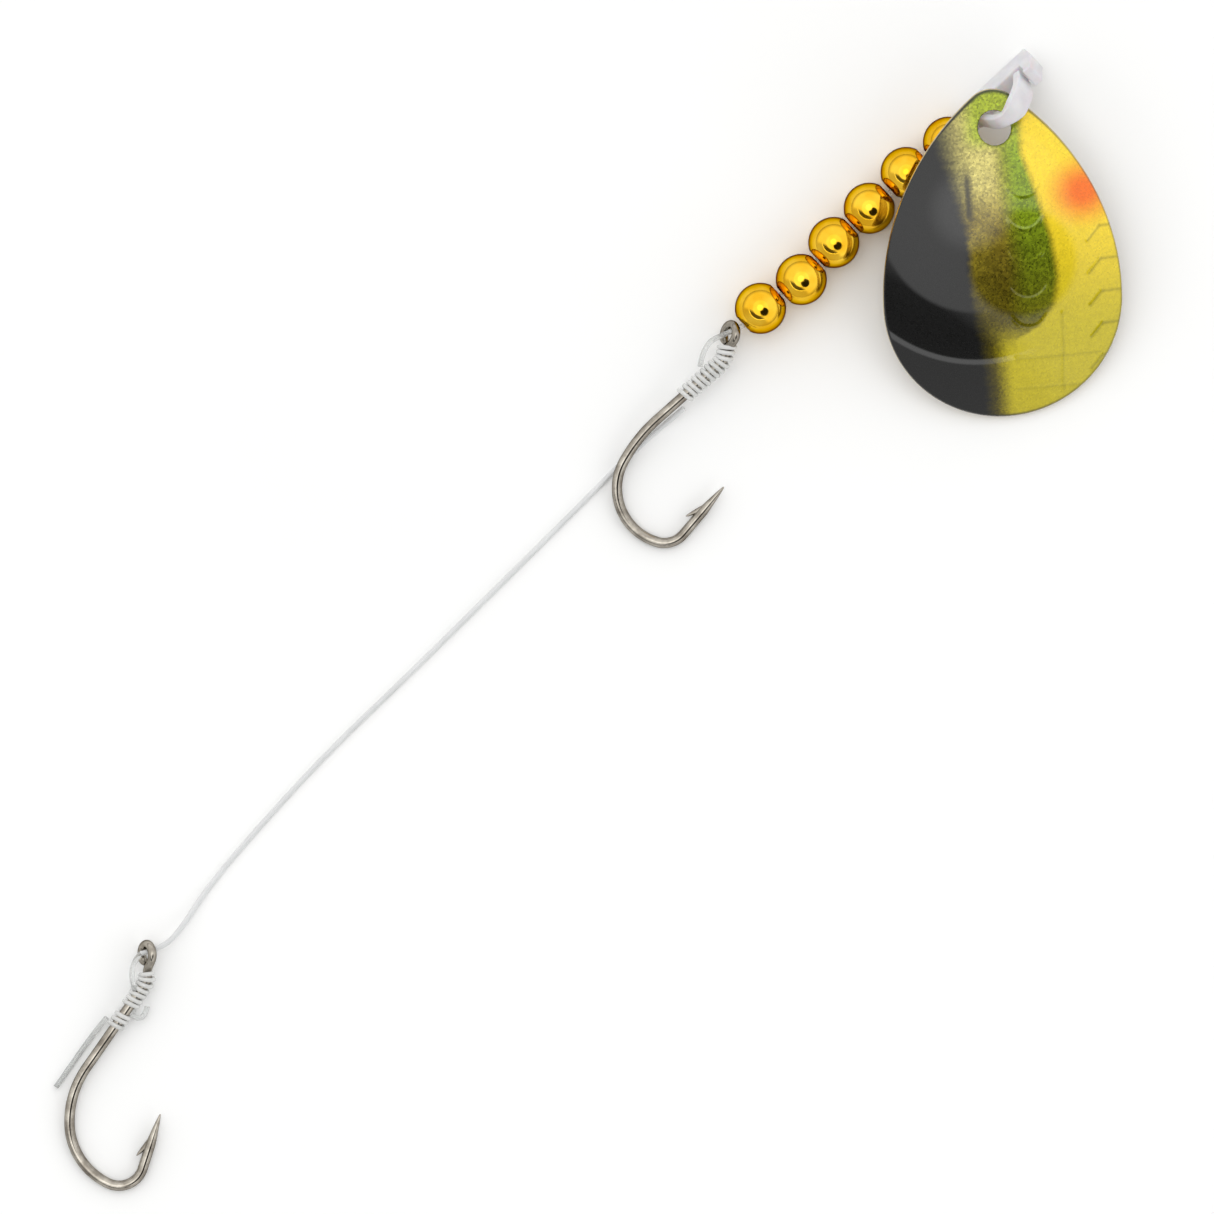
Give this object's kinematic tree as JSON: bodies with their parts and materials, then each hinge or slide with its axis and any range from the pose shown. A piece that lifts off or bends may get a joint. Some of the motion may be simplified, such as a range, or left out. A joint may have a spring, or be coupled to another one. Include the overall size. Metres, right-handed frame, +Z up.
{
  "type": "snelled spinner rig",
  "caption": "Fishing spinner rig: cupped teardrop blade on a quick-change clevis, round metal-finish beads on monofilament line, and octopus hooks snelled in tandem.",
  "frame": {"origin": "on the table under the middle of the rig, the free line left out of the box", "axes": "+X along the line towards the clevis, +Y away from the hooks' points, +Z up off the table"},
  "size_m": [0.1164, 0.0242, 0.007],
  "materials": {
    "blade_metal": "polished, plated",
    "blade_coat": "printed holographic foil under gloss clear coat",
    "clevis_plastic": "translucent moulded nylon",
    "bead_gold": "bright gold plating",
    "hook_steel": "black nickel bronze",
    "monofilament": "clear nylon line"
  },
  "bodies": {
    "line_and_hooks": {"leader_line": "monofilament", "front_snell": "monofilament", "front_snell_loop": "monofilament", "trace_line": "monofilament", "rear_snell": "monofilament", "rear_snell_loop": "monofilament", "rear_snell_tail": "monofilament", "tag_end": "monofilament", "front_hook": "hook_steel", "rear_hook": "hook_steel"},
    "bead_1": {"bead_1": "bead_gold"},
    "bead_2": {"bead_2": "bead_gold"},
    "bead_3": {"bead_3": "bead_gold"},
    "bead_4": {"bead_4": "bead_gold"},
    "bead_5": {"bead_5": "bead_gold"},
    "bead_6": {"bead_6": "bead_gold"},
    "clevis": {"clevis_body": "clevis_plastic"},
    "clevis_arm": {"clevis_arm": "clevis_plastic"},
    "blade": {"blade": "blade_metal", "blade_finish": "blade_coat"}
  },
  "joints": [
    {"name": "bead_1_spin", "type": "hinge", "parent": "line_and_hooks", "child": "bead_1", "pos_m": [0.04862, 0.00947, 0.00205], "axis": [1, 0, 0], "continuous": true},
    {"name": "bead_2_spin", "type": "hinge", "parent": "line_and_hooks", "child": "bead_2", "pos_m": [0.04449, 0.01001, 0.00205], "axis": [1, 0, 0], "continuous": true},
    {"name": "bead_3_spin", "type": "hinge", "parent": "line_and_hooks", "child": "bead_3", "pos_m": [0.04038, 0.00993, 0.00205], "axis": [1, 0, 0], "continuous": true},
    {"name": "bead_4_spin", "type": "hinge", "parent": "line_and_hooks", "child": "bead_4", "pos_m": [0.03644, 0.00986, 0.00205], "axis": [1, 0, 0], "continuous": true},
    {"name": "bead_5_spin", "type": "hinge", "parent": "line_and_hooks", "child": "bead_5", "pos_m": [0.03252, 0.00947, 0.00205], "axis": [1, 0, 0], "continuous": true},
    {"name": "bead_6_spin", "type": "hinge", "parent": "line_and_hooks", "child": "bead_6", "pos_m": [0.02856, 0.01001, 0.00205], "axis": [1, 0, 0], "continuous": true},
    {"name": "clevis_spin", "type": "hinge", "parent": "line_and_hooks", "child": "clevis", "pos_m": [0.0507, 0.00974, 0.00205], "axis": [1, 0, 0], "continuous": true},
    {"name": "clevis_arm_latch", "type": "hinge", "parent": "clevis", "child": "clevis_arm", "pos_m": [0.05165, 0.00914, 0.00334], "axis": [0, -0.9063, -0.4226], "range_deg": [0, 8]},
    {"name": "blade_swing", "type": "hinge", "parent": "clevis", "child": "blade", "pos_m": [0.0535, 0.00843, 0.00486], "axis": [0, 0.9063, 0.4226], "range_deg": [0, 40]}
  ]
}
